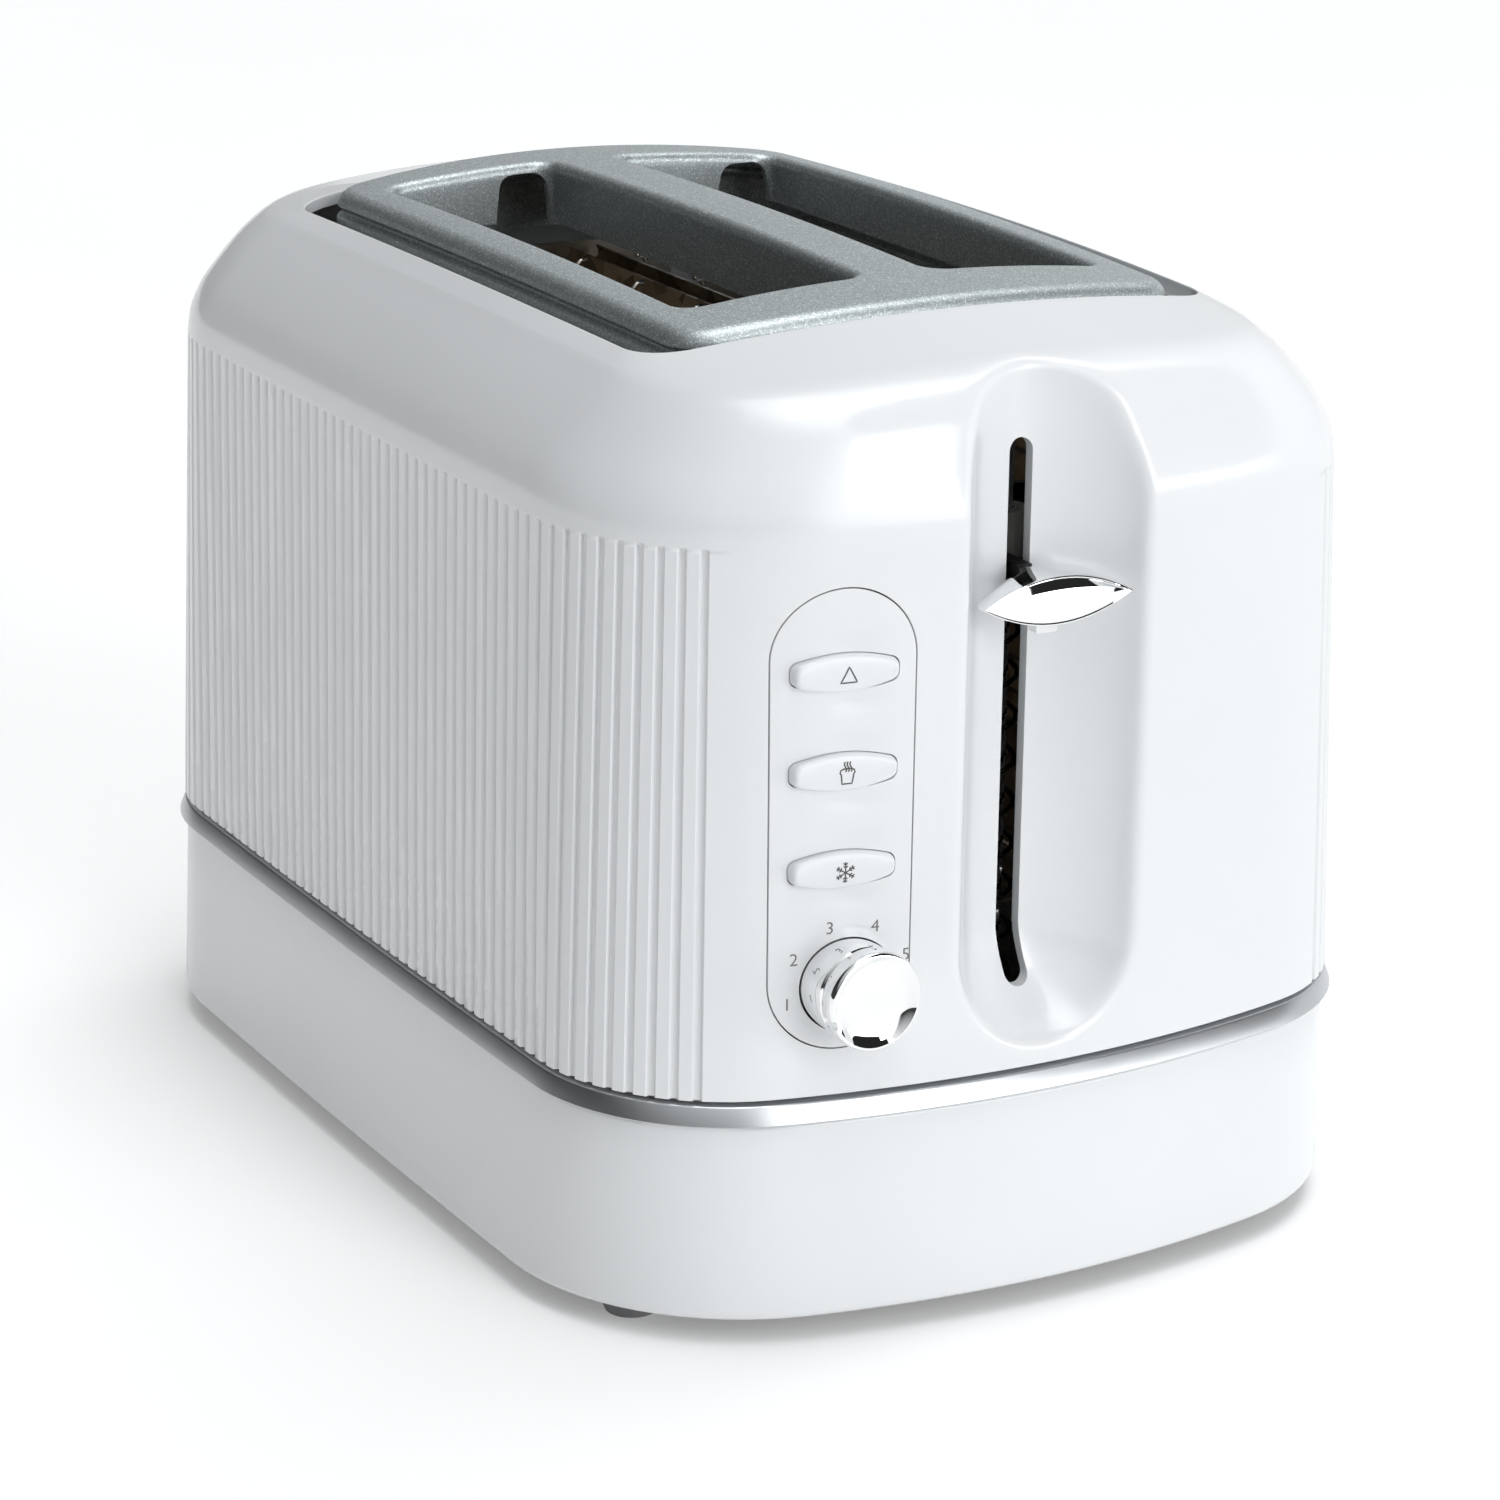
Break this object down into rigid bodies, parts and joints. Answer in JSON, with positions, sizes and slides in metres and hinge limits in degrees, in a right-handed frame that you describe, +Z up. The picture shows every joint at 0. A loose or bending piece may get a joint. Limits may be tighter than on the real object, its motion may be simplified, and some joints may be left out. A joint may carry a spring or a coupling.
{
  "type": "pop up toaster",
  "caption": "Two-slot pop up toaster with ribbed long sides, a bread lift with a chrome lever, three push buttons, a browning dial and a rear crumb tray.",
  "frame": {"origin": "on the surface the toaster stands on, under the middle of its overall box", "axes": "+X towards the control end with the lever and dial, +Y towards one ribbed long side, +Z up"},
  "size_m": [0.274, 0.1828, 0.1921],
  "materials": {
    "white_plastic": "moulded, glossy",
    "silver_paint": "sparkle metallic paint, satin",
    "trim_chrome": "plated, polished",
    "chrome": "plated, mirror polished",
    "plated_steel": "zinc plated sheet",
    "tray_steel": "rolled sheet",
    "black_steel": "black oxide",
    "black_plastic": "moulded, fine texture",
    "grey_rubber": "moulded",
    "mica": "pressed mica board",
    "copper_coil": "enamelled winding",
    "circuit_board": "solder mask",
    "nylon": "moulded natural"
  },
  "bodies": {
    "housing": {"upper_shell": "white_plastic", "base_skirt": "white_plastic", "control_bezel": "white_plastic", "slot_frame": "silver_paint", "trim_band": "trim_chrome", "guide_rod": "chrome", "bottom_plate": "black_plastic", "cord_gland": "black_plastic", "switch_cancel": "black_plastic", "switch_reheat": "black_plastic", "switch_defrost": "black_plastic", "power_switch": "black_plastic", "foot_1": "grey_rubber", "foot_2": "grey_rubber", "foot_3": "grey_rubber", "foot_4": "grey_rubber", "base_screw_1": "plated_steel", "base_screw_2": "plated_steel", "base_screw_3": "plated_steel", "base_screw_4": "plated_steel", "potentiometer": "plated_steel", "return_spring": "plated_steel", "mechanism_base": "plated_steel", "rod_bracket": "plated_steel", "magnet_core": "plated_steel", "front_plate": "plated_steel", "rear_plate": "plated_steel", "heat_shield_left": "plated_steel", "heat_shield_right": "plated_steel", "element_card_left_inner": "mica", "element_card_left_outer": "mica", "element_card_right_inner": "mica", "element_card_right_outer": "mica", "magnet_coil": "copper_coil", "control_board": "circuit_board"},
    "lift": {"carriage_bracket": "plated_steel", "carriage_bush": "nylon", "lever_arm": "black_steel", "lever_knob": "chrome", "latch_armature": "plated_steel", "lift_rack_left": "plated_steel", "lift_rack_right": "plated_steel"},
    "dial": {"dial_knob": "chrome", "dial_shaft": "plated_steel"},
    "cancel_button": {"button_cancel": "white_plastic"},
    "reheat_button": {"button_reheat": "white_plastic"},
    "defrost_button": {"button_defrost": "white_plastic"},
    "tray": {"crumb_tray": "tray_steel", "crumb_tray_handle": "white_plastic"},
    "guard_left_inner": {"bread_guard_left_inner": "plated_steel"},
    "guard_left_outer": {"bread_guard_left_outer": "plated_steel"},
    "guard_right_inner": {"bread_guard_right_inner": "plated_steel"},
    "guard_right_outer": {"bread_guard_right_outer": "plated_steel"}
  },
  "joints": [
    {"name": "lift_slide", "type": "slide", "parent": "housing", "child": "lift", "axis": [0, 0, 1], "range_m": [-0.073, 0.02], "stiffness_N_per_m": 100, "springref_m": 0.015, "deforming": ["return_spring"]},
    {"name": "dial_turn", "type": "hinge", "parent": "housing", "child": "dial", "pos_m": [0.13695, -0.0435, 0.0716], "axis": [-1, 0, 0], "range_deg": [0, 240]},
    {"name": "cancel_press", "type": "slide", "parent": "housing", "child": "cancel_button", "axis": [-1, 0, 0], "range_m": [0, 0.0016], "stiffness_N_per_m": 400, "springref_m": -0.002},
    {"name": "reheat_press", "type": "slide", "parent": "housing", "child": "reheat_button", "axis": [-1, 0, 0], "range_m": [0, 0.0016], "stiffness_N_per_m": 400, "springref_m": -0.002},
    {"name": "defrost_press", "type": "slide", "parent": "housing", "child": "defrost_button", "axis": [-1, 0, 0], "range_m": [0, 0.0016], "stiffness_N_per_m": 400, "springref_m": -0.002},
    {"name": "tray_slide", "type": "slide", "parent": "housing", "child": "tray", "axis": [-1, 0, 0], "range_m": [0, 0.18]},
    {"name": "guard_left_inner_close", "type": "slide", "parent": "housing", "child": "guard_left_inner", "axis": [0, -1, 0], "range_m": [-0.002, 0.0062]},
    {"name": "guard_left_outer_close", "type": "slide", "parent": "housing", "child": "guard_left_outer", "axis": [0, 1, 0], "range_m": [-0.002, 0.0062]},
    {"name": "guard_right_inner_close", "type": "slide", "parent": "housing", "child": "guard_right_inner", "axis": [0, 1, 0], "range_m": [-0.002, 0.0062]},
    {"name": "guard_right_outer_close", "type": "slide", "parent": "housing", "child": "guard_right_outer", "axis": [0, -1, 0], "range_m": [-0.002, 0.0062]}
  ],
  "couplings": [
    {"joint": "guard_left_inner_close", "follows": "lift_slide", "ratio": -0.08},
    {"joint": "guard_left_outer_close", "follows": "lift_slide", "ratio": -0.08},
    {"joint": "guard_right_inner_close", "follows": "lift_slide", "ratio": -0.08},
    {"joint": "guard_right_outer_close", "follows": "lift_slide", "ratio": -0.08}
  ]
}
